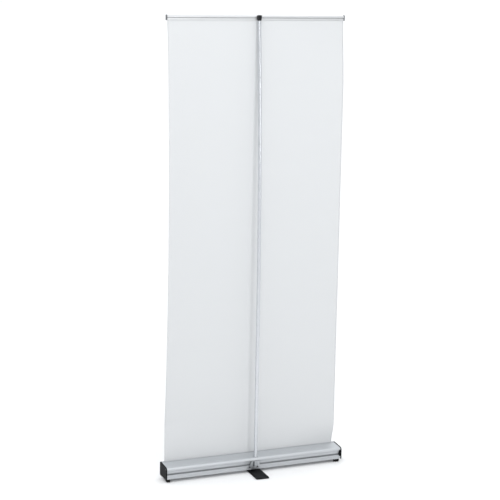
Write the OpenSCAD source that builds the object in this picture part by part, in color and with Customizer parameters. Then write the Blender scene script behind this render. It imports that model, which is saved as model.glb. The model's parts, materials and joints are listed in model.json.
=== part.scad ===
// Roll-up banner stand. X runs along the casing, the printed face of the film looks towards -Y,
// the pole stands on the +Y side and Z is up. Inside this file the parts are laid out in the
// banner frame: y = 0 is the film's plane and z = 0 is the casing's underside. seat() then moves
// them so that the origin is on the floor, under the middle of the stand. Sizes are millimetres.

/* [Banner] */
// Width of the film
banner_w = 850; // [800:10:1000]
// Height of film showing between the casing and the top rail
visible_h = 2000; // [1900:10:2060]
// Thickness of the film
film_t = 0.4; // [0.3:0.05:0.6]

/* [Casing] */
// Height of the casing's underside above the floor
floor_gap = 15; // [14:1:18]
// Wall thickness of the casing
casing_wall = 1.6; // [1.4:0.1:2]
// Top of the lips of the film slot above the casing's underside
casing_top = 63; // [63:0.5:64]
// Distance from the film to the casing's rear flange
casing_rear = 76; // [76:0.5:78]
// Distance from the film forward to the casing's front wall
casing_front = 7; // [6:0.5:9]
// Radius of the rear shoulder
shoulder_r = 12.5; // [12:0.5:13]
// Slope of the casing's top, in degrees
top_slope = 5.5; // [5:0.5:6]
// How far the casing runs past the film on each side
casing_margin = 13.5; // [13.5:0.5:18]
// Thickness of an end cap's plate
cap_t = 5; // [3:0.5:5]

/* [Roller] */
// Outer radius of the roller tube
roller_r = 14; // [13:0.5:14]
// Radius of the shafts that the roller turns on
shaft_r = 4; // [3.5:0.25:4.5]
// Thickness of the film left on the roller when the banner is up
roll_t = 2.1; // [1.5:0.1:3]
// Turns of the torsion spring
spring_turns = 15; // [8:1:20]

/* [Pole] */
// Outer radius of the pole
pole_r = 8; // [7.5:0.25:8]
// Wall thickness of the pole's tubes
pole_wall = 1; // [1:0.1:1.2]
// Distance from the film to the foot of the pole
pole_y = 61; // [61:0.5:62]
// How far the pole stands from the casing's middle, along the casing
pole_x = -3.5; // [-4:0.5:0]
// Length of each pole section
section_l = 674; // [660:1:690]
// Radius of the bow of the two upper sections
bow_r = 20300; // [20300:100:22000]

/* [Top rail] */
// Height of the top rail's end plates
rail_h = 24; // [24:0.5:26]
// How far the rail runs past the film on each side, without its end plates
rail_margin = 2.3; // [2:0.1:4]

/* [Feet] */
// Width of the swivel foot
foot_w = 63; // [50:1:68]
// Distance from the film to the rear end of the swivel foot
foot_rear = 178; // [160:1:200]
// Thickness of the swivel foot's plate
foot_t = 4; // [3:0.5:5]
// How far the swivel foot is turned towards +X, in degrees
foot_turn = 2.75; // [0:0.25:3]
// Half the length of a rubber foot
rubber_half = 13; // [11:0.5:13]
// Width of a rubber foot
rubber_w = 13; // [11:0.5:13]

/* [Hidden] */
$fn = 64;

// Small gaps: between parts that don't move on each other, and between parts that do
gap = 0.3;
fit = 0.05;
loose_fit = 0.1;
// Extra length that lets a cut run right through
through = 30;
// Holes for 3 mm screws
screw_r = 1.5;
screw_hole_r = 1.6;

// Casing
casing_half = banner_w / 2 + casing_margin;
cap_proud = 1;
front_y = -casing_front - cap_proud;
shoulder_y = casing_rear - shoulder_r;
shoulder_z = 42.5;
nose_r = 5;
nose_y = nose_r - casing_front;
nose_z = ((shoulder_y - nose_y) * sin(top_slope) + shoulder_r - nose_r) / cos(top_slope) + shoulder_z;
corner_r = 5;
heel_r = 2.6;
flange_h = 20;
groove_y = 65;
groove_top = 26.5;
face_y = 71;
ribs = 4;
rib_pitch = 4.2;
rib_groove_r = 1.1;
slot_half = 1.6;
lip_r = 1.6;
boss_r = 3.6;
boss_hole_r = 1.45;
boss_inset = casing_wall + boss_r - 0.4;
boss_spots = [[boss_inset - casing_front, boss_inset], [casing_rear - boss_inset, boss_inset],
              [shoulder_y, shoulder_z] + (shoulder_r - boss_inset) * [cos(45), sin(45)]];

// End caps
cap_plug_l = 7;
cap_plug_t = 2;
cap_block_l = 8;
cap_block_z = [15, 45];
cap_block_proud = 1.8;
cap_boss_r = 9;
cap_screw_l = 15;
cap_screw_head_r = 2.8;
cap_screw_head_t = 1.6;
cap_shaft_l = 10;
cross_l = 3.2;
cross_w = 0.7;

// Roller
roller_y = 21;
roller_z = 31;
roller_half = casing_half - 9.5;
roller_wall = 1.2;
roll_r = roller_r + loose_fit + roll_t;
plug_l = 18;
plug_flange_t = 4.5;
shaft_l = 290;
spring_r = 7.4;
spring_wire_r = 0.9;
spring_l = 225;
anchor_l = 16;
anchor_x = casing_half - shaft_l + 4;
spring_inset = 6;
idle_pin_inset = 2;
shaft_end = 1.8;

// Film
film_bottom = 48;
film_grip = 8;
rail_z = casing_top + visible_h;

// Pole
bow_y = pole_y - bow_r;
joint_1_z = 687;
joint_2_deg = section_l / bow_r * 180 / PI;
pole_top_z = rail_z - 1;
pole_top_deg = asin((pole_top_z - joint_1_z) / bow_r);
pole_top_y = bow_y + bow_r * cos(pole_top_deg);
mm_deg = 180 / PI / bow_r;
socket_floor = 5;
sleeve_top = 45;
sleeve_spigot_l = 25;
ferrule_below = 40;
ferrule_above = 45;
ferrule_r = pole_r - pole_wall - loose_fit;
collar_r = pole_r + 0.4;
collar_h = 3;
cord_r = 1.75;
knot_r = 3.2;
knot_z = 15;
knot_inset = 34;

// Pole socket
bracket_x = 12;
bracket_t = 1.6;
bracket_z = [8, 42];
bracket_foot_half = 29;
bracket_head_half = 10;
bracket_rib_w = 2.4;
bracket_rib_t = 1.5;
block_x = [pole_x - 14, bracket_x + 12];
block_front = 49;
block_top = 40;
socket_collar_r = 11.5;
socket_slot_w = 9;
socket_slot_z = [15, 39];
socket_slot_depth = 9;
socket_screw_x = [bracket_x - 19, bracket_x + 19];
socket_screw_z = 13;
socket_screw_l = 8;
socket_screw_head_r = 3;
socket_screw_head_t = 1.3;

// Pole head and its clip
head_w = 17;
head_foot_w = 12;
head_corner_r = 4.5;
head_notch_w = 4;
head_notch_h = 3;
head_front = 6.75;
head_rear = 23;
head_spigot_l = 27;
clip_w = 10;
clip_z = 8;
clip_t = 1.2;
clip_tip_y = 3.1;
clip_tip_h = 3.3;
rivet_y = 15;
rivet_head_r = 2.8;
rivet_head_t = 1.4;
head_rib_w = 2;
head_rib_t = 0.6;

// Top rail
rail_half = banner_w / 2 + rail_margin;
rail_cap_t = 3;
rail_cap_rear = 5;
rail_cap_bevel = 2.4;
rail_cap_stub = 12;
lip_bead_r = 1.1;
bead = [-1, 15.75];
bead_r = 4.2;
bead_hole_r = 2.6;
jaw_r = 5.75;
lip_gap = film_t / 2 + 0.4;
lip_t = 1.6;
lip_top = 9.6;
neck = [-0.2, 0.8];
rail_foot = 1.5;
jaw_start = -20;
jaw_end = 270;

// Feet
pad_t = 1.5;
pad_r = 7;
pad_inset = 11;
foot_top = pad_t + foot_t - floor_gap;
foot_pivot_y = 35;
foot_front = 8;
foot_corner_r = 6;
foot_rim = 5;
foot_panel_depth = 0.6;
bolt_r = 4;
bolt_head_r = 8;
bolt_head_t = 2.3;
bolt_key_r = 2.5;
nut_r = 7.5;
nut_h = 7;
washer_r = 9;
washer_t = 1.2;
spacer_r = 15;
foot_reach = foot_pivot_y + foot_corner_r + (foot_rear - foot_corner_r - foot_pivot_y) * cos(foot_turn)
    + (foot_w / 2 - foot_corner_r) * sin(foot_turn);
mid_y = (front_y + foot_reach) / 2;
rubber_left_x = 16.5 - casing_half;
rubber_right_x = casing_half - 9.5;
rubber_front_inset = 24;
rubber_front_y = 14;
rubber_rear_y = 61;
// Each rubber foot: its place, and how far it is turned
rubber_spots = [[rubber_left_x + rubber_front_inset, rubber_front_y, 0],
                [rubber_right_x - rubber_front_inset, rubber_front_y, 90],
                [rubber_left_x, rubber_rear_y, 0], [rubber_right_x, rubber_rear_y, 90]];
rubber_recess = 6;
rubber_screw_head_r = 2.6;
rubber_screw_head_t = 1.9;
rubber_edge_r = 7;

// Moves a part from the banner frame to the stand's own frame
module seat() translate([0, -mid_y, floor_gap]) children();

// The same for what stands on the pole's line
module seat_pole() seat() translate([pole_x, 0, 0]) children();

// The same for what turns with the swivel foot
module seat_foot() seat() translate([0, foot_pivot_y, 0]) rotate(-foot_turn)
    translate([0, -foot_pivot_y, 0]) children();

// Lays a (y, z) outline along X
module along_x(length) rotate([90, 0, 90]) linear_extrude(length, center = true) children();

// The same, between two x values
module from_x(x0, x1) translate([x0, 0, 0]) rotate([90, 0, 90]) linear_extrude(x1 - x0) children();

// A round bar along X, on the roller's axis
module bar(x0, x1, r) translate([x0, roller_y, roller_z]) rotate([0, 90, 0]) cylinder(h = x1 - x0, r = r);

// A round bar that follows the pole's bow, from one angle to another
module bowed_bar(a0, a1, r)
    translate([0, bow_y, joint_1_z]) rotate([90, 0, 90]) rotate([0, 0, a0])
        rotate_extrude(angle = a1 - a0, $fn = 3600) translate([bow_r, 0]) circle(r);

// Mirrors what it is given to the -X side when side is -1
module on_side(side) if (side > 0) children(); else mirror([1, 0, 0]) children();

function arc(c, r, a0, a1, n = 16) =
    [for (i = [0:n]) let (a = a0 + (a1 - a0) * i / n) c + r * [cos(a), sin(a)]];

// The hollow of the rear face above the groove, from its foot to the shoulder
function rear_face(t) = [for (s = [0:0.1:1])
    [face_y + (casing_rear - face_y) * s * s - t,
     groove_top + 1 + t * (1 - s) + (shoulder_z - groove_top - 1) * s]];

// The two rounded lower corners, moved inwards by t
function underside(t) = let (front = corner_r - t, rear = max(heel_r - t, 0.4)) concat(
    arc([t + front - casing_front, t + front], front, 180, 270),
    arc([casing_rear - t - rear, t + rear], rear, 270, 360, 6));

// The casing's outline, moved inwards by t
function casing_outline(t) = concat(
    underside(t),
    [[casing_rear - t, flange_h - t], [groove_y - t, flange_h - t], [groove_y - t, groove_top + t]],
    rear_face(t),
    arc([shoulder_y, shoulder_z], shoulder_r - t, 0, 90 - top_slope, 30),
    arc([nose_y, nose_z], nose_r - t, 90 - top_slope, 180, 12));

// An end cap's outline: it has no groove
function cap_outline(t) = concat(
    underside(t),
    arc([shoulder_y, shoulder_z], shoulder_r - t, 0, 90 - top_slope, 30),
    arc([nose_y, nose_z], nose_r - t, 90 - top_slope, 180, 12));

module casing_section() {
    difference() {
        union() {
            difference() {
                polygon(casing_outline(0));
                polygon(casing_outline(casing_wall));
            }
            for (spot = boss_spots) translate(spot) circle(boss_r);
            for (side = [-1, 1]) translate([side * (slot_half + lip_r - 0.4), casing_top - lip_r])
                circle(lip_r);
        }
        translate([-slot_half, nose_z]) square([2 * slot_half, 2 * nose_r]);
        for (spot = boss_spots) translate(spot) circle(boss_hole_r);
        for (i = [1:ribs]) translate([casing_rear + 0.5, i * rib_pitch - 1.5]) circle(rib_groove_r);
    }
}

module cassette_casing() color("silver") seat() difference() {
    along_x(2 * casing_half) casing_section();
    translate([pole_x, pole_y, groove_top]) cylinder(h = 2 * through, r = pole_r + 0.5);
    translate([block_x[0] - gap, block_front - gap, casing_wall])
        cube([block_x[1] - block_x[0] + 2 * gap, 40, block_top - casing_wall + gap]);
    translate([0, foot_pivot_y, -1]) cylinder(h = 10, r = bolt_r + loose_fit);
    for (spot = rubber_spots) translate([spot[0], spot[1], -1]) cylinder(h = 4, r = screw_hole_r);
    for (x = socket_screw_x) translate([x, groove_y + 4, socket_screw_z])
        rotate([-90, 0, 0]) cylinder(h = through, r = screw_hole_r);
}

// An end cap on the +X side
module end_cap() difference() {
    union() {
        from_x(casing_half, casing_half + cap_t) polygon(cap_outline(-cap_proud));
        from_x(casing_half - cap_plug_l, casing_half + 1) difference() {
            polygon(casing_outline(casing_wall + gap));
            polygon(casing_outline(casing_wall + gap + cap_plug_t));
        }
        bar(casing_half - 3, casing_half + 1, cap_boss_r);
    }
    bar(casing_half - cap_shaft_l, casing_half + 2, shaft_r + 0.02);
    for (spot = boss_spots) translate([0, spot[0], spot[1]]) {
        translate([casing_half - 20, 0, 0]) rotate([0, 90, 0]) cylinder(h = 20, r = boss_r + gap);
        translate([casing_half - 1, 0, 0]) rotate([0, 90, 0]) cylinder(h = 10, r = boss_hole_r + 0.15);
        translate([casing_half + cap_t - cap_screw_head_t - 0.1, 0, 0])
            rotate([0, 90, 0]) cylinder(h = 4, r = cap_screw_head_r + 0.15);
    }
}

// The block on the left cap's plate, that fills the groove and stands out of the rear face
module cap_block() from_x(casing_half - cap_block_l, casing_half + 1) difference() {
    translate([groove_y + gap, cap_block_z[0]])
        square([casing_rear + cap_block_proud - groove_y - gap, cap_block_z[1] - cap_block_z[0]]);
    polygon(casing_outline(-gap));
}
module end_cap_left() color("black") seat() on_side(-1) union() {
    end_cap();
    cap_block();
}
module end_cap_right() color("black") seat() on_side(1) end_cap();

module end_cap_screws() color("dimgray") seat() for (side = [-1, 1]) on_side(side) for (spot = boss_spots)
    translate([casing_half + cap_t, spot[0], spot[1]]) rotate([0, -90, 0]) difference() {
        union() {
            cylinder(h = cap_screw_head_t, r = cap_screw_head_r);
            cylinder(h = cap_screw_l, r = boss_hole_r - 0.05);
        }
        for (turn = [0, 90]) rotate(turn) cube([cross_l, cross_w, cap_screw_head_t], center = true);
    }

module roller_tube() color("gainsboro") seat() difference() {
    bar(-roller_half, roller_half, roller_r);
    bar(-roller_half - 1, roller_half + 1, roller_r - roller_wall);
}

// A bearing plug on the +X end of the roller
module roller_plug() difference() {
    union() {
        bar(roller_half - plug_l, roller_half + plug_flange_t, roller_r - roller_wall - fit);
        bar(roller_half + 0.1, roller_half + plug_flange_t, roller_r);
    }
    bar(roller_half - plug_l - 1, roller_half + plug_flange_t + 1, shaft_r + fit);
}
module roller_plug_left() color("dimgray") seat() on_side(-1) roller_plug();
module roller_plug_right() color("dimgray") seat() on_side(1) roller_plug();

module spring_anchor() color("ivory") seat() difference() {
    bar(anchor_x, anchor_x + anchor_l, roller_r - roller_wall - fit);
    bar(anchor_x - 1, anchor_x + anchor_l + 1, shaft_r + fit);
}

module spring_shaft() color("lightgray") seat()
    bar(casing_half - shaft_l, casing_half + shaft_end, shaft_r);

module idle_pin() color("lightgray") seat() mirror([1, 0, 0])
    bar(roller_half - plug_l + idle_pin_inset, casing_half + shaft_end, shaft_r);

// A helix along X: one ring of points for each step, and a flat cap on each end
module coil(r, wire_r, turns, length, steps_per_turn = 12, sides = 6) {
    steps = turns * steps_per_turn;
    lead = length / turns / (2 * PI * r);
    points = [for (i = [0:steps], j = [0:sides - 1])
        let (a = 360 * i / steps_per_turn, b = 360 * j / sides, out = [0, cos(a), sin(a)],
             side = [1, lead * sin(a), -lead * cos(a)] / sqrt(1 + lead * lead))
        [length * i / steps, 0, 0] + out * (r + wire_r * cos(b)) + side * wire_r * sin(b)];
    faces = concat(
        [[for (j = [0:sides - 1]) j]],
        [for (i = [0:steps - 1], j = [0:sides - 1]) let (k = (j + 1) % sides)
            each [[i * sides + j, (i + 1) * sides + j, i * sides + k],
                  [(i + 1) * sides + j, (i + 1) * sides + k, i * sides + k]]],
        [[for (j = [sides - 1:-1:0]) steps * sides + j]]);
    polyhedron(points, faces);
}
module torsion_spring() color("gray") seat()
    translate([roller_half - plug_l - spring_inset - spring_l, roller_y, roller_z])
        coil(spring_r, spring_wire_r, spring_turns, spring_l);

module banner_roll() color("whitesmoke") seat() difference() {
    bar(-banner_w / 2, banner_w / 2, roll_r);
    bar(-banner_w / 2 - 1, banner_w / 2 + 1, roller_r + loose_fit / 2);
}

// The film from the roll's tangent up to the slot
module banner_leader() color("whitesmoke") seat() along_x(banner_w)
    polygon([[roller_y - roll_r - gap - film_t, roller_z], [roller_y - roll_r - gap, roller_z],
             [film_t / 2, film_bottom - gap], [-film_t / 2, film_bottom - gap]]);

module banner_sheet() color("white") seat()
    translate([-banner_w / 2, -film_t / 2, film_bottom])
        cube([banner_w, film_t, rail_z + film_grip - film_bottom]);

// A rib along one slanting edge of the bracket
module bracket_rib(side) polygon([
    [side * bracket_foot_half, bracket_z[0]], [side * bracket_head_half, bracket_z[1]],
    [side * (bracket_head_half - bracket_rib_w), bracket_z[1]],
    [side * (bracket_foot_half - bracket_rib_w), bracket_z[0]]]);

module pole_socket() color("silver") seat() difference() {
    union() {
        translate([bracket_x, casing_rear + 0.1 + bracket_t, 0]) rotate([90, 0, 0]) linear_extrude(bracket_t)
            polygon([[-bracket_foot_half, bracket_z[0]], [bracket_foot_half, bracket_z[0]],
                     [bracket_head_half, bracket_z[1]], [-bracket_head_half, bracket_z[1]]]);
        translate([bracket_x, casing_rear + bracket_t + bracket_rib_t, 0]) rotate([90, 0, 0])
            linear_extrude(bracket_rib_t) for (side = [-1, 1]) bracket_rib(side);
        translate([block_x[0], block_front, casing_wall + gap])
            cube([block_x[1] - block_x[0], casing_rear + 0.5 - block_front, block_top - casing_wall - gap]);
        intersection() {
            translate([pole_x, pole_y, block_top - 1]) cylinder(h = 30, r = socket_collar_r);
            from_x(block_x[0], block_x[1]) difference() {
                polygon(casing_outline(casing_wall + gap));
                for (spot = boss_spots) translate(spot) circle(boss_r + gap);
            }
        }
    }
    translate([pole_x, pole_y, socket_floor]) cylinder(h = 60, r = pole_r + loose_fit);
    translate([bracket_x - socket_slot_w / 2, casing_rear - socket_slot_depth, socket_slot_z[0]])
        cube([socket_slot_w, 30, socket_slot_z[1] - socket_slot_z[0]]);
    for (x = socket_screw_x) translate([x, groove_y + 4, socket_screw_z])
        rotate([-90, 0, 0]) cylinder(h = through, r = screw_hole_r + loose_fit);
}

module socket_screws() color("dimgray") seat() for (x = socket_screw_x)
    translate([x, casing_rear + 0.15 + bracket_t, socket_screw_z]) rotate([90, 0, 0]) {
        cylinder(h = socket_screw_l, r = screw_r);
        difference() {
            translate([0, 0, -socket_screw_head_t]) cylinder(h = socket_screw_head_t, r = socket_screw_head_r);
            for (turn = [0, 90]) rotate(turn) translate([0, 0, -socket_screw_head_t])
                cube([cross_l, cross_w, socket_screw_head_t], center = true);
        }
    }

module foot_outline(inset) translate([-foot_w / 2 + inset, foot_front + inset]) {
    w = foot_w - 2 * inset;
    l = foot_rear - foot_front - 2 * inset;
    r = foot_corner_r - inset;
    translate([r, 0]) square([w - 2 * r, l]);
    translate([0, r]) square([w, l - 2 * r]);
    for (x = [r, w - r], y = [r, l - r]) translate([x, y]) circle(r);
}

module swivel_foot() color("black") seat_foot() difference() {
    translate([0, 0, foot_top - foot_t]) linear_extrude(foot_t) foot_outline(0);
    translate([0, 0, foot_top - foot_panel_depth]) difference() {
        linear_extrude(foot_t) foot_outline(foot_rim);
        translate([0, foot_pivot_y, -1]) cylinder(h = 10, r = spacer_r + 2);
    }
    translate([0, foot_pivot_y, foot_top - foot_t - 1]) cylinder(h = 10, r = bolt_r + fit);
    translate([0, foot_pivot_y, foot_top - foot_t - 0.01])
        cylinder(h = bolt_head_t + gap, r1 = bolt_head_r + gap, r2 = bolt_r + fit);
}

module foot_pads() color("dimgray") seat_foot()
    for (x = [-1, 1], y = [foot_front + pad_inset, foot_rear - pad_inset])
        translate([x * (foot_w / 2 - pad_inset), y, -floor_gap]) cylinder(h = pad_t, r = pad_r);

module foot_bolt() color("lightgray") seat() translate([0, foot_pivot_y, foot_top - foot_t]) difference() {
    union() {
        cylinder(h = bolt_head_t, r1 = bolt_head_r - 0.2, r2 = bolt_r);
        cylinder(h = foot_t - foot_top + casing_wall + 8, r = bolt_r);
    }
    translate([0, 0, -1]) cylinder(h = bolt_head_t + gap, r = bolt_key_r, $fn = 6);
}

module foot_spacer() color("black") seat() translate([0, foot_pivot_y, foot_top + 0.1]) difference() {
    cylinder(h = -foot_top - 0.1, r = spacer_r);
    translate([0, 0, -1]) cylinder(h = 20, r = bolt_r + loose_fit);
}

module foot_nut() color("lightgray") seat() translate([0, foot_pivot_y, casing_wall]) difference() {
    union() {
        cylinder(h = washer_t, r = washer_r);
        cylinder(h = nut_h, r = nut_r, $fn = 6);
    }
    translate([0, 0, -1]) cylinder(h = 20, r = bolt_r + 0.02);
}

// A rubber foot seen from its long side, with its lower corners round
module rubber_outline() union() {
    translate([rubber_edge_r - rubber_half, 0]) square([2 * (rubber_half - rubber_edge_r), floor_gap]);
    translate([-rubber_half, rubber_edge_r]) square([2 * rubber_half, floor_gap - rubber_edge_r]);
    for (side = [-1, 1]) translate([side * (rubber_half - rubber_edge_r), rubber_edge_r]) circle(rubber_edge_r);
}

module rubber_foot(spot) color("black") seat() translate([spot[0], spot[1], -floor_gap]) difference() {
    rotate(spot[2]) rotate([90, 0, 0]) linear_extrude(rubber_w, center = true) rubber_outline();
    translate([0, 0, -1]) cylinder(h = rubber_recess + 1, r = rubber_screw_head_r + gap);
    cylinder(h = through, r = screw_hole_r);
}
module rubber_foot_front_left() rubber_foot(rubber_spots[0]);
module rubber_foot_front_right() rubber_foot(rubber_spots[1]);
module rubber_foot_rear_left() rubber_foot(rubber_spots[2]);
module rubber_foot_rear_right() rubber_foot(rubber_spots[3]);

module rubber_foot_screws() color("lightgray") seat() for (spot = rubber_spots)
    translate([spot[0], spot[1], rubber_recess - 0.1 - floor_gap]) {
        translate([0, 0, -rubber_screw_head_t]) cylinder(h = rubber_screw_head_t, r = rubber_screw_head_r);
        translate([0, 0, -1]) cylinder(h = floor_gap - rubber_recess + 6, r = screw_r);
    }

module pole_end_sleeve() color("black") seat_pole() difference() {
    union() {
        translate([0, pole_y, socket_floor + 0.1]) cylinder(h = sleeve_top - socket_floor - 0.1, r = pole_r);
        translate([0, pole_y, sleeve_top - 1])
            cylinder(h = sleeve_spigot_l + 1, r = pole_r - pole_wall - fit);
    }
    translate([0, pole_y, knot_z - 4]) cylinder(h = 3 * through, r = knot_r + 1);
}

module pole_lower() color("silver") seat_pole() translate([0, pole_y, sleeve_top]) difference() {
    cylinder(h = joint_1_z - collar_h / 2 - sleeve_top, r = pole_r);
    translate([0, 0, -1]) cylinder(h = joint_1_z, r = pole_r - pole_wall);
}

// The joining tube between the straight lower section and the middle one
module ferrule_lower() color("darkgray") seat_pole() difference() {
    union() {
        translate([0, pole_y, joint_1_z - ferrule_below])
            cylinder(h = ferrule_below + ferrule_above, r = ferrule_r);
        translate([0, pole_y, joint_1_z - collar_h / 2 + 0.05]) cylinder(h = collar_h - 0.1, r = collar_r);
    }
    translate([0, pole_y, joint_1_z - ferrule_below - 1])
        cylinder(h = ferrule_below + ferrule_above + 2, r = ferrule_r - pole_wall);
}

module pole_middle() color("silver") seat_pole() difference() {
    bowed_bar(collar_h / 2 * mm_deg, joint_2_deg - collar_h / 2 * mm_deg, pole_r);
    bowed_bar(-mm_deg, joint_2_deg + mm_deg, pole_r - pole_wall);
}

module ferrule_upper() color("darkgray") seat_pole() difference() {
    union() {
        bowed_bar(joint_2_deg - ferrule_below * mm_deg, joint_2_deg + ferrule_above * mm_deg, ferrule_r);
        bowed_bar(joint_2_deg - (collar_h / 2 - 0.05) * mm_deg, joint_2_deg + (collar_h / 2 - 0.05) * mm_deg,
                  collar_r);
    }
    bowed_bar(joint_2_deg - (ferrule_below + 1) * mm_deg, joint_2_deg + (ferrule_above + 1) * mm_deg,
              ferrule_r - pole_wall);
}

module pole_upper() color("silver") seat_pole() difference() {
    bowed_bar(joint_2_deg + collar_h / 2 * mm_deg, pole_top_deg, pole_r);
    bowed_bar(joint_2_deg, pole_top_deg + mm_deg, pole_r - pole_wall);
}

// The elastic cord runs inside the whole pole, with a knot at each end
module shock_cord() color("crimson") seat_pole() union() {
    translate([0, pole_y, knot_z]) cylinder(h = joint_1_z - knot_z, r = cord_r);
    bowed_bar(0, pole_top_deg - (knot_inset - 3) * mm_deg, cord_r);
    translate([0, pole_y, knot_z]) sphere(knot_r);
    translate([0, bow_y, joint_1_z]) rotate([pole_top_deg - knot_inset * mm_deg, 0, 0])
        translate([0, bow_r, 0]) sphere(knot_r);
}

// The head's outline seen from behind: it narrows downwards, and its upper corners are round
module head_outline() union() {
    polygon([[-head_foot_w / 2, 0], [head_foot_w / 2, 0], [head_w / 2, rail_h - head_corner_r],
             [-head_w / 2, rail_h - head_corner_r]]);
    translate([head_corner_r - head_w / 2, rail_h - 2 * head_corner_r])
        square([head_w - 2 * head_corner_r, 2 * head_corner_r]);
    for (side = [-1, 1]) translate([side * (head_w / 2 - head_corner_r), rail_h - head_corner_r])
        circle(head_corner_r);
}

module pole_head() color("black") seat_pole() difference() {
    union() {
        translate([0, head_rear, rail_z]) rotate([90, 0, 0]) linear_extrude(head_rear - head_front)
            head_outline();
        translate([-head_rib_w / 2, head_rear - 1, rail_z + head_notch_h])
            cube([head_rib_w, 1 + head_rib_t, rail_h - head_notch_h - 4]);
        translate([0, pole_top_y, pole_top_z]) rotate([pole_top_deg, 0, 0])
            translate([0, 0, -head_spigot_l])
                cylinder(h = head_spigot_l + 4, r = pole_r - pole_wall - loose_fit);
    }
    translate([-clip_w / 2 - 0.2, head_front - 1, rail_z + clip_z - 0.2])
        cube([clip_w + 0.4, rivet_y + 4.5 - head_front, clip_t + 0.4]);
    translate([-head_notch_w / 2, head_rear - 2, rail_z - 1]) cube([head_notch_w, 10, head_notch_h + 1]);
    translate([0, rivet_y, rail_z - 1]) cylinder(h = through, r = screw_hole_r);
    translate([0, rivet_y, rail_z + rail_h - 4]) cylinder(h = 10, r = rivet_head_r + gap);
}

// The springy clip on the head: its tip hooks under the rail's bead
module hook_clip() color("gray") seat_pole() translate([-clip_w / 2, 0, rail_z + clip_z]) difference() {
    union() {
        translate([0, clip_tip_y, 0]) cube([clip_w, rivet_y + 3 - clip_tip_y, clip_t]);
        translate([0, clip_tip_y, 0]) cube([clip_w, 1, clip_tip_h]);
    }
    translate([clip_w / 2, rivet_y, -1]) cylinder(h = 5, r = screw_hole_r);
}

module clip_rivet() color("lightgray") seat_pole() translate([0, rivet_y, rail_z]) {
    translate([0, 0, 1]) cylinder(h = rail_h - 4, r = screw_r);
    translate([0, 0, rail_h - 3.9]) cylinder(h = rivet_head_t, r = rivet_head_r);
}

module rail_back_section() difference() {
    union() {
        translate(bead) circle(bead_r);
        translate([lip_gap, rail_foot + 0.5]) square([lip_t, lip_top - rail_foot - 0.5]);
        translate([neck[0], film_grip + 0.4]) square([lip_gap + lip_t - neck[0], lip_top - film_grip - 0.4]);
        translate([neck[0], film_grip + 0.4]) square([neck[1] - neck[0], bead[1] - film_grip - 3.4]);
        translate([lip_gap + lip_bead_r, rail_foot + lip_bead_r]) circle(lip_bead_r);
    }
    translate(bead) circle(bead_hole_r);
}
module rail_back() color("silver") seat() translate([0, 0, rail_z]) along_x(2 * rail_half) rail_back_section();

// The jaw wraps the bead from jaw_start to jaw_end, and ends in the front lip
module rail_jaw_section() union() {
    difference() {
        translate(bead) circle(jaw_r);
        translate(bead) circle(bead_r + loose_fit);
        translate(bead) polygon(concat([[0, 0]], arc([0, 0], 3 * jaw_r, jaw_end - 360, jaw_start, 4)));
    }
    translate([-lip_gap - lip_t, rail_foot + 0.5])
        square([lip_t, bead[1] - jaw_r - rail_foot + 0.6]);
    translate([-lip_gap - lip_bead_r, rail_foot + lip_bead_r]) circle(lip_bead_r);
}
module rail_jaw() color("silver") seat() translate([0, 0, rail_z])
    along_x(2 * (rail_half - gap)) rail_jaw_section();

// A plate on the rail's +X end, with a stub in the bead's bore
module rail_cap() {
    from_x(rail_half, rail_half + rail_cap_t) difference() {
        translate([front_y, 0]) square([rail_cap_rear - front_y, rail_h]);
        for (y = [front_y, rail_cap_rear], z = [0, rail_h])
            translate([y, z]) rotate(45) square(rail_cap_bevel, center = true);
    }
    translate([rail_half - rail_cap_stub, bead[0], bead[1]])
        rotate([0, 90, 0]) cylinder(h = rail_cap_stub + 1, r = bead_hole_r - fit);
}
module rail_cap_left() color("dimgray") seat() translate([0, 0, rail_z]) on_side(-1) rail_cap();
module rail_cap_right() color("dimgray") seat() translate([0, 0, rail_z]) on_side(1) rail_cap();

cassette_casing();
end_cap_left();
end_cap_right();
end_cap_screws();
roller_tube();
roller_plug_left();
roller_plug_right();
spring_anchor();
spring_shaft();
torsion_spring();
idle_pin();
banner_roll();
banner_leader();
banner_sheet();
pole_socket();
socket_screws();
swivel_foot();
foot_pads();
foot_bolt();
foot_spacer();
foot_nut();
rubber_foot_front_left();
rubber_foot_front_right();
rubber_foot_rear_left();
rubber_foot_rear_right();
rubber_foot_screws();
pole_end_sleeve();
pole_lower();
ferrule_lower();
pole_middle();
ferrule_upper();
pole_upper();
shock_cord();
pole_head();
hook_clip();
clip_rivet();
rail_back();
rail_jaw();
rail_cap_left();
rail_cap_right();
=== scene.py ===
"""The looks of the roll-up banner stand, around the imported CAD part. Sizes are in metres."""

import json
import math

import bpy
from mathutils import Matrix, Vector


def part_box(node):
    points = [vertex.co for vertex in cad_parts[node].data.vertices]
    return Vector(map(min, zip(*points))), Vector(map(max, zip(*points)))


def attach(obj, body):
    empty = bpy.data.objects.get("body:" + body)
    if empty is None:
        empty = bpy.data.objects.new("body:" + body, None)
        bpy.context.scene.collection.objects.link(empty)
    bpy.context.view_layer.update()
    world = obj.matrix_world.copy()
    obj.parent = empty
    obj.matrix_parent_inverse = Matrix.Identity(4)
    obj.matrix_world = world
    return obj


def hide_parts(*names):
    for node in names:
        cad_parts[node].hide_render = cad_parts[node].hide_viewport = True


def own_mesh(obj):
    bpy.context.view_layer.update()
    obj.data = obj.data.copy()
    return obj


# The camera: behind the stand, on its +X side, above the top rail
CAMERA_PLACE = (2.6344, 6.0533, 2.2949)
CAMERA_AZIMUTH = 156.904
CAMERA_ELEVATION = 10.645
CAMERA_ROLL = 1.004
CAMERA_LENS = 106.97
CAMERA_SENSOR = 36.0
CAMERA_REACH = 300.0

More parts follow.
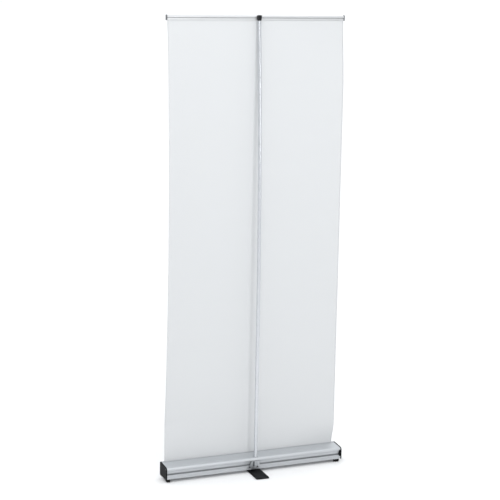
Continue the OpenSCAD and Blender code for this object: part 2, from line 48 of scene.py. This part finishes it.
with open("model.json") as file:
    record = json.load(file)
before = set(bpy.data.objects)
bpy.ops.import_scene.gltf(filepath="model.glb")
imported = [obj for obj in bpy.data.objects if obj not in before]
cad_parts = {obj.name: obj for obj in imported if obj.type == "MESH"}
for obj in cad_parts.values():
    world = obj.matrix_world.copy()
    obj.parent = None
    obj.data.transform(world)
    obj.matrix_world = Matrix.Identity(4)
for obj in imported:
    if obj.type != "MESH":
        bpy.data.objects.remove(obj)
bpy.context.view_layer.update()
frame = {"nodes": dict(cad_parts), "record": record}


def make_camera():
    """A camera at the place and in the direction given above."""
    azimuth, elevation, roll = (
        math.radians(v) for v in (CAMERA_AZIMUTH, CAMERA_ELEVATION, CAMERA_ROLL)
    )
    back = Vector((
        math.sin(azimuth) * math.cos(elevation),
        -math.cos(azimuth) * math.cos(elevation),
        math.sin(elevation),
    ))
    level = Vector((math.cos(azimuth), math.sin(azimuth), 0.0))
    above = back.cross(level)
    right = level * math.cos(roll) + above * math.sin(roll)
    up = above * math.cos(roll) - level * math.sin(roll)
    data = bpy.data.cameras.new("camera")
    data.lens = CAMERA_LENS
    data.sensor_width = CAMERA_SENSOR
    data.clip_end = CAMERA_REACH
    camera = bpy.data.objects.new("camera", data)
    bpy.context.scene.collection.objects.link(camera)
    turn = Matrix((right, up, back)).transposed().to_4x4()
    camera.matrix_world = Matrix.Translation(CAMERA_PLACE) @ turn
    bpy.context.scene.camera = camera


make_camera()
bpy.context.scene.view_settings.view_transform = "Standard"


# ---------------------------------------------------------------- materials


class Tree:
    """The nodes of one material or world, with short calls to add and join them."""

    def __init__(self, tree):
        self.tree = tree

    def add(self, kind, **inputs):
        """A new node. Inputs are values or other nodes' outputs, by socket name."""
        made = self.tree.nodes.new("ShaderNode" + kind)
        for name, value in inputs.items():
            self.put(made, name.replace("_", " "), value)
        return made

    def put(self, made, name, value):
        """Sets or links one input, by its name, or by its number as i0, i1 and so on."""
        numbered = name[0] == "i" and name[1:].isdigit()
        socket = made.inputs[int(name[1:]) if numbered else name]
        if isinstance(value, bpy.types.NodeSocket):
            self.tree.links.new(value, socket)
        else:
            socket.default_value = value

    def math(self, operation, *values):
        made = self.tree.nodes.new("ShaderNodeMath")
        made.operation = operation
        for i, value in enumerate(values):
            self.put(made, f"i{i}", value)
        return made.outputs[0]

    def scale(self, colour, factor):
        """A colour times a factor."""
        made = self.tree.nodes.new("ShaderNodeVectorMath")
        made.operation = "SCALE"
        self.put(made, "i0", colour)
        self.put(made, "Scale", factor)
        return made.outputs[0]


class Layer:
    """One noise over a surface. pitch is its size along X, Y and Z, and height its relief,
    both in metres; tone and gloss are how far it changes the colour and the roughness."""

    def __init__(self, pitch, height=0.0, tone=0.0, gloss=0.0, detail=3.0, seed=0.0):
        self.pitch = pitch if hasattr(pitch, "__len__") else (pitch,) * 3
        self.height = height
        self.tone = tone
        self.gloss = gloss
        self.detail = detail
        self.seed = seed

    def value(self, tree, place):
        """The noise, about 0 to 1."""
        mapping = tree.add(
            "Mapping",
            Vector=place,
            Scale=[1.0 / p for p in self.pitch],
            Location=[self.seed] * 3,
        )
        noise = tree.add(
            "TexNoise", Vector=mapping.outputs[0], Scale=1.0, Detail=self.detail
        )
        return noise.outputs[0]


# How far the ambient occlusion looks for the walls of a groove, for the shade painted into grooves
CREVICE_SHADE_REACH = 0.009
BEVEL_SAMPLES = 6


def surface(name, colour, rough, layers, edge_r=0.0, edge_tone=0.0, crevice_shade=0.0, sockets=()):
    """A material whose colour, roughness and relief come from noises. The crevice amount paints shade
    into the colour: how much darker it is made deep in a narrow groove, by ambient occlusion."""
    made = bpy.data.materials.new(name)
    made.use_nodes = True
    tree = Tree(made.node_tree)
    shader = made.node_tree.nodes["Principled BSDF"]
    place = tree.add("TexCoord").outputs["Object"]
    normal = None
    tone = 1.0
    gloss = rough
    if edge_r:
        bevel = tree.add("Bevel", Radius=edge_r)
        bevel.samples = BEVEL_SAMPLES
        normal = bevel.outputs[0]
        if edge_tone:
            flat = tree.add("NewGeometry").outputs["Normal"]
            dot = tree.tree.nodes.new("ShaderNodeVectorMath")
            dot.operation = "DOT_PRODUCT"
            tree.put(dot, "i0", normal)
            tree.put(dot, "i1", flat)
            worn = tree.math("SUBTRACT", 1.0, dot.outputs["Value"])
            tone = tree.math("MULTIPLY_ADD", worn, edge_tone, 1.0)
    # Painted shade: the colour is darkened where ambient occlusion finds nearby walls, deep in a
    # groove
    if crevice_shade:
        open_share = tree.add("AmbientOcclusion", Distance=CREVICE_SHADE_REACH).outputs["AO"]
        shade = tree.math("MULTIPLY_ADD", open_share, crevice_shade, 1.0 - crevice_shade)
        tone = tree.math("MULTIPLY", tone, shade)
    for layer in layers:
        value = layer.value(tree, place)
        if layer.height:
            bump = tree.add("Bump", Height=value, Strength=1.0, Distance=layer.height)
            if normal is not None:
                tree.put(bump, "Normal", normal)
            normal = bump.outputs[0]
        centred = tree.math("SUBTRACT", value, 0.5)
        if layer.tone:
            tone = tree.math("MULTIPLY_ADD", centred, layer.tone, tone)
        if layer.gloss:
            gloss = tree.math("MULTIPLY_ADD", centred, layer.gloss, gloss)
    tree.put(shader, "Base Color", tree.scale(colour, tone))
    tree.put(shader, "Roughness", gloss)
    if normal is not None:
        tree.put(shader, "Normal", normal)
    for socket, value in dict(sockets).items():
        shader.inputs[socket].default_value = value
    return made


METAL = {"Metallic": 1.0}
# The relief of drawn aluminium, which is finer on the pole, whose bright line shows any unevenness
DRAWN_RELIEF = 0.000004
POLE_RELIEF = 0.0000008
ALONG_X = (0.4, 0.0012, 0.0012)
# The pole bows along Y, so its lines vary across X alone
ALONG_Z = (0.0012, 0.4, 0.4)
# The broad lines are this many times as wide as the fine ones
BROAD_LINES = 5


def drawn(name, colour, rough, along, metal=1.0, crevice_shade=0.0, relief=DRAWN_RELIEF):
    """Anodised aluminium with the faint lines of its drawing or extrusion."""
    return surface(
        name, colour, rough,
        [
            Layer(along, height=relief, tone=0.08, gloss=0.08),
            Layer([p * BROAD_LINES for p in along], tone=0.05, gloss=0.05, seed=3.0),
            Layer(0.0004, height=relief, tone=0.04, gloss=0.06, seed=7.0),
            Layer(0.11, tone=0.03, gloss=0.06, detail=1.0, seed=11.0),
        ],
        edge_r=0.00035, edge_tone=0.25, crevice_shade=crevice_shade, sockets={"Metallic": metal},
    )


def moulded(name, colour, rough, grain=0.0006, relief=0.00003, shine=0.5):
    """Moulded plastic with a fine spark-eroded grain."""
    return surface(
        name, colour, rough,
        [
            Layer(grain, height=relief, tone=0.20, gloss=0.12),
            Layer(0.02, tone=0.15, gloss=0.12, seed=5.0),
        ],
        edge_r=0.0005, edge_tone=1.5, sockets={"Specular IOR Level": shine},
    )


def steel(name, colour, rough):
    """Plated or bare steel with small marks."""
    return surface(
        name, colour, rough,
        [
            Layer(0.0015, height=0.00001, tone=0.15, gloss=0.20),
            Layer(0.008, tone=0.10, gloss=0.10, seed=4.0),
        ],
        edge_r=0.0002, sockets=METAL,
    )


# The crevice amounts below paint shade into the grooves of the casing, the rail and the socket
MATERIALS = {
    "casing_aluminium": drawn(
        "casing_aluminium", (0.53, 0.55, 0.57), 0.46, ALONG_X, metal=0.5, crevice_shade=0.55
    ),
    "rail_aluminium": drawn(
        "rail_aluminium", (0.64, 0.65, 0.66), 0.38, ALONG_X, metal=0.4, crevice_shade=0.97
    ),
    "pole_aluminium": drawn(
        "pole_aluminium", (0.60, 0.62, 0.65), 0.27, ALONG_Z, metal=0.8, relief=POLE_RELIEF
    ),
    "ferrule_aluminium": drawn("ferrule_aluminium", (0.50, 0.52, 0.54), 0.30, ALONG_Z),
    "roller_aluminium": drawn("roller_aluminium", (0.62, 0.63, 0.64), 0.36, ALONG_X),
    "cap_plastic": moulded("cap_plastic", (0.006, 0.006, 0.007), 0.55, shine=0.07),
    "rail_cap_plastic": moulded("rail_cap_plastic", (0.105, 0.110, 0.120), 0.45),
    "bearing_plastic": moulded("bearing_plastic", (0.050, 0.050, 0.055), 0.42),
    "anchor_plastic": moulded("anchor_plastic", (0.60, 0.57, 0.48), 0.40),
    "head_plastic": moulded("head_plastic", (0.010, 0.010, 0.012), 0.42, shine=0.2),
    "foot_steel": surface(
        "foot_steel", (0.007, 0.007, 0.008), 0.55,
        [
            Layer(0.0009, height=0.00008, tone=0.25, gloss=0.16, detail=2.0),
            Layer(0.03, tone=0.25, gloss=0.14, seed=9.0),
        ],
        edge_r=0.0006, edge_tone=2.0, sockets={"Specular IOR Level": 0.12},
    ),
    "rubber": surface(
        "rubber", (0.008, 0.008, 0.008), 0.75,
        [Layer(0.0012, height=0.00004, tone=0.2, gloss=0.1), Layer(0.01, tone=0.3, seed=2.0)],
        edge_r=0.0005, edge_tone=1.0, sockets={"Specular IOR Level": 0.15},
    ),
    "socket_metal": surface(
        "socket_metal", (0.50, 0.52, 0.54), 0.34,
        [
            Layer(0.0011, height=0.00003, tone=0.1, gloss=0.16),
            Layer(0.012, tone=0.1, gloss=0.1, seed=6.0),
        ],
        edge_r=0.0005, edge_tone=0.3, crevice_shade=0.8, sockets=METAL,
    ),
    "zinc_steel": steel("zinc_steel", (0.55, 0.56, 0.58), 0.30),
    "spring_steel": steel("spring_steel", (0.36, 0.36, 0.37), 0.35),
    "clip_steel": steel("clip_steel", (0.45, 0.46, 0.47), 0.30),
    "black_screw": surface(
        "black_screw", (0.03, 0.03, 0.032), 0.35,
        [Layer(0.0012, height=0.00001, tone=0.2, gloss=0.15)],
        edge_r=0.0002, edge_tone=2.0,
    ),
    "cord_elastic": surface(
        "cord_elastic", (0.70, 0.69, 0.66), 0.80,
        [Layer((0.0008, 0.0008, 0.0016), height=0.0002, tone=0.3, detail=1.0)],
    ),
    "banner_film": surface(
        "banner_film", (0.640, 0.652, 0.662), 0.55,
        [
            Layer(0.0006, height=0.000004, tone=0.02, gloss=0.05),
            Layer((0.35, 0.35, 0.08), tone=0.012, gloss=0.03, detail=2.0, seed=8.0),
        ],
        sockets={"Specular IOR Level": 0.35},
    ),
}

for part in frame["record"]["subparts"]:
    node = frame["nodes"][part["node"]]
    node.data.materials.clear()
    node.data.materials.append(MATERIALS[part["material_slot"]])


# ---------------------------------------------------------------- the film

FILM_T = 0.0004
# The film in the clamp is thinner, so that it lies inside the free film where the two overlap
GRIP_T = 0.0002
GRIP_TAIL = 0.010
FILM_COLUMNS = 96
FILM_ROWS = 220
# The film ends this far below the top of its CAD solid
FILM_TOP_GAP = 0.001
# The curl of each edge to the rear, and how far from the middle it starts
CURL_LEFT = 0.038
CURL_RIGHT = 0.0205
CURL_START = 0.10
CURL_POWER = 2.6
# Over these heights the film eases from flat, at the slot and at the clamp, to free
EASE_SLOT = 0.03
EASE_CLAMP = 0.06
# The +X edge's curl is one arch, from this far above the slot to this far above the clamp
ARCH_ABOVE_SLOT = 0.185
ARCH_ABOVE_CLAMP = 0.035
ARCH_POWER = 0.8
# The -X edge's curl grows and fades over these heights
RIGHT_GROW = 0.10
RIGHT_FADE = 0.3
# A slight ripple: its height, and its turns in radians per metre along Z and X
RIPPLE = 0.0004
RIPPLE_Z = 21.0
RIPPLE_X = 5.0
RIPPLE_START = 1.0


def smooth(t):
    """An eased step from 0 at t = 0 to 1 at t = 1."""
    t = min(max(t, 0.0), 1.0)
    return t * t * (3.0 - 2.0 * t)


def arch(z, low, high):
    """0 below low and above high, and a full arch of height 1 between them."""
    t = (z - low) / (high - low)
    return math.sin(math.pi * t) ** ARCH_POWER if 0.0 < t < 1.0 else 0.0


def sheet_mesh(name, xs, zs, thickness, place):
    """A sheet over a grid, closed round its rim. place gives y for x and z."""
    middle = [[Vector((x, place(x, z), z)) for x in xs] for z in zs]
    rows, columns = len(zs), len(xs)
    verts = []
    for side in (-0.5, 0.5):
        for r in range(rows):
            for c in range(columns):
                across = middle[r][min(c + 1, columns - 1)] - middle[r][max(c - 1, 0)]
                along = middle[min(r + 1, rows - 1)][c] - middle[max(r - 1, 0)][c]
                normal = along.cross(across).normalized()
                verts.append(middle[r][c] + normal * side * thickness)

    def at(layer, r, c):
        return layer * rows * columns + r * columns + c

    faces = []
    for r in range(rows - 1):
        for c in range(columns - 1):
            ring = [(r, c), (r, c + 1), (r + 1, c + 1), (r + 1, c)]
            faces.append([at(0, *p) for p in ring])
            faces.append([at(1, *p) for p in reversed(ring)])
    for c in range(columns - 1):
        for r, flip in ((0, False), (rows - 1, True)):
            ring = [at(0, r, c + 1), at(0, r, c), at(1, r, c), at(1, r, c + 1)]
            faces.append(ring[::-1] if flip else ring)
    for r in range(rows - 1):
        for c, flip in ((0, False), (columns - 1, True)):
            ring = [at(0, r, c), at(0, r + 1, c), at(1, r + 1, c), at(1, r, c)]
            faces.append(ring[::-1] if flip else ring)
    data = bpy.data.meshes.new(name)
    data.from_pydata(verts, [], faces)
    data.shade_smooth()
    made = bpy.data.objects.new(name, data)
    bpy.context.scene.collection.objects.link(made)
    data.materials.append(MATERIALS["banner_film"])
    return made


def spaced(low, high, count):
    """Evenly spaced values, both ends included."""
    return [low + (high - low) * i / (count - 1) for i in range(count)]


def make_film():
    """The free film, which rides with the base, and the film held in the clamp, which rides with the
    rail.
    """
    low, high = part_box("banner_sheet")
    plane = (low.y + high.y) / 2
    half = (high.x - low.x) / 2
    slot_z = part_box("cassette_casing")[1].z
    clamp_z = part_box("rail_back")[0].z

    def y_at(x, z):
        """Both edges curl to the rear between the slot and the clamp, the +X edge most."""
        share = max(abs(x) - CURL_START, 0.0) / (half - CURL_START)
        free = smooth((z - slot_z) / EASE_SLOT) * smooth((clamp_z - GRIP_TAIL - z) / EASE_CLAMP)
        if x > 0:
            curl = CURL_LEFT * arch(z, slot_z + ARCH_ABOVE_SLOT, clamp_z + ARCH_ABOVE_CLAMP)
        else:
            ends = smooth((z - slot_z) / RIGHT_GROW) * smooth((clamp_z - z) / RIGHT_FADE)
            curl = CURL_RIGHT * ends
        ripple = RIPPLE * math.sin(z * RIPPLE_Z) * math.sin(x * RIPPLE_X + RIPPLE_START)
        return plane + free * (curl * share ** CURL_POWER + ripple)

    film = sheet_mesh(
        "film",
        spaced(low.x, high.x, FILM_COLUMNS),
        spaced(low.z, high.z - FILM_TOP_GAP, FILM_ROWS),
        FILM_T,
        y_at,
    )
    grip = sheet_mesh(
        "film_grip",
        spaced(low.x, high.x, 3),
        spaced(clamp_z - GRIP_TAIL, high.z, 3),
        GRIP_T,
        lambda x, z: plane,
    )
    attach(film, "base")
    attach(grip, "rail")
    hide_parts("banner_sheet")
    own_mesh(film)


make_film()


# ---------------------------------------------------------------- floor and light


FLOOR_REACH = 90.0
# The world's brightness at the horizon on each side, overhead, and as seen past the stand
WORLD_REAR = 1.05
WORLD_CAMERA = 0.18
WORLD_TOP = 1.35
WORLD_SEEN = 1.05
# The world dims between these two values of its direction's Y, and brightens up to this Z
WORLD_DIM_START = -0.2
WORLD_DIM_END = 0.8
WORLD_TOP_HEIGHT = 0.9
WORLD_COLOUR = (0.97, 0.985, 1.0, 1.0)


def make_floor():
    """A plain pale floor, wide enough to fill every view."""
    data = bpy.data.meshes.new("floor")
    corners = ((-1, -1), (1, -1), (1, 1), (-1, 1))
    data.from_pydata([(x * FLOOR_REACH, y * FLOOR_REACH, 0.0) for x, y in corners], [], [(0, 1, 2, 3)])
    data.materials.append(surface(
        "floor", (0.90, 0.90, 0.90), 0.85,
        [Layer(0.004, tone=0.01), Layer(0.8, tone=0.01, seed=1.0)],
    ))
    floor = bpy.data.objects.new("floor", data)
    bpy.context.scene.collection.objects.link(floor)


def make_light(name, place, target, size, power):
    """An oblong soft box at a place, turned to a target."""
    data = bpy.data.lights.new(name, "AREA")
    data.shape = "RECTANGLE"
    data.size, data.size_y = size
    data.energy = power
    light = bpy.data.objects.new(name, data)
    bpy.context.scene.collection.objects.link(light)
    light.location = place
    aim = Vector(target) - Vector(place)
    light.rotation_mode = "QUATERNION"
    light.rotation_quaternion = aim.to_track_quat("-Z", "Y")


def make_world():
    """A pale studio: brightest overhead, dimmer towards the horizon on the +Y side. Seen past
    the stand it is as pale as the floor."""
    world = bpy.data.worlds.new("studio")
    bpy.context.scene.world = world
    world.use_nodes = True
    tree = Tree(world.node_tree)
    way = tree.add("SeparateXYZ", Vector=tree.add("TexCoord").outputs["Generated"])
    side = tree.add(
        "MapRange",
        i0=way.outputs[1], i1=WORLD_DIM_START, i2=WORLD_DIM_END, i3=WORLD_REAR, i4=WORLD_CAMERA,
    )
    height = tree.add(
        "MapRange",
        i0=way.outputs[2], i1=0.0, i2=WORLD_TOP_HEIGHT, i3=side.outputs[0], i4=WORLD_TOP,
    )
    seen = tree.add("LightPath").outputs["Is Camera Ray"]
    strength = tree.add("MapRange", i0=seen, i3=height.outputs[0], i4=WORLD_SEEN)
    shader = world.node_tree.nodes["Background"]
    shader.inputs["Color"].default_value = WORLD_COLOUR
    tree.put(shader, "Strength", strength.outputs[0])


make_floor()
make_world()
make_light(
    "fill", place=(0.45, 2.5, 3.0), target=(-0.1, -0.08, 1.1), size=(2.2, 1.2), power=28.0
)
make_light(
    "key", place=(-0.4, 4.2, 1.8), target=(-0.2, -0.08, 0.7), size=(0.4, 1.2), power=19.0
)
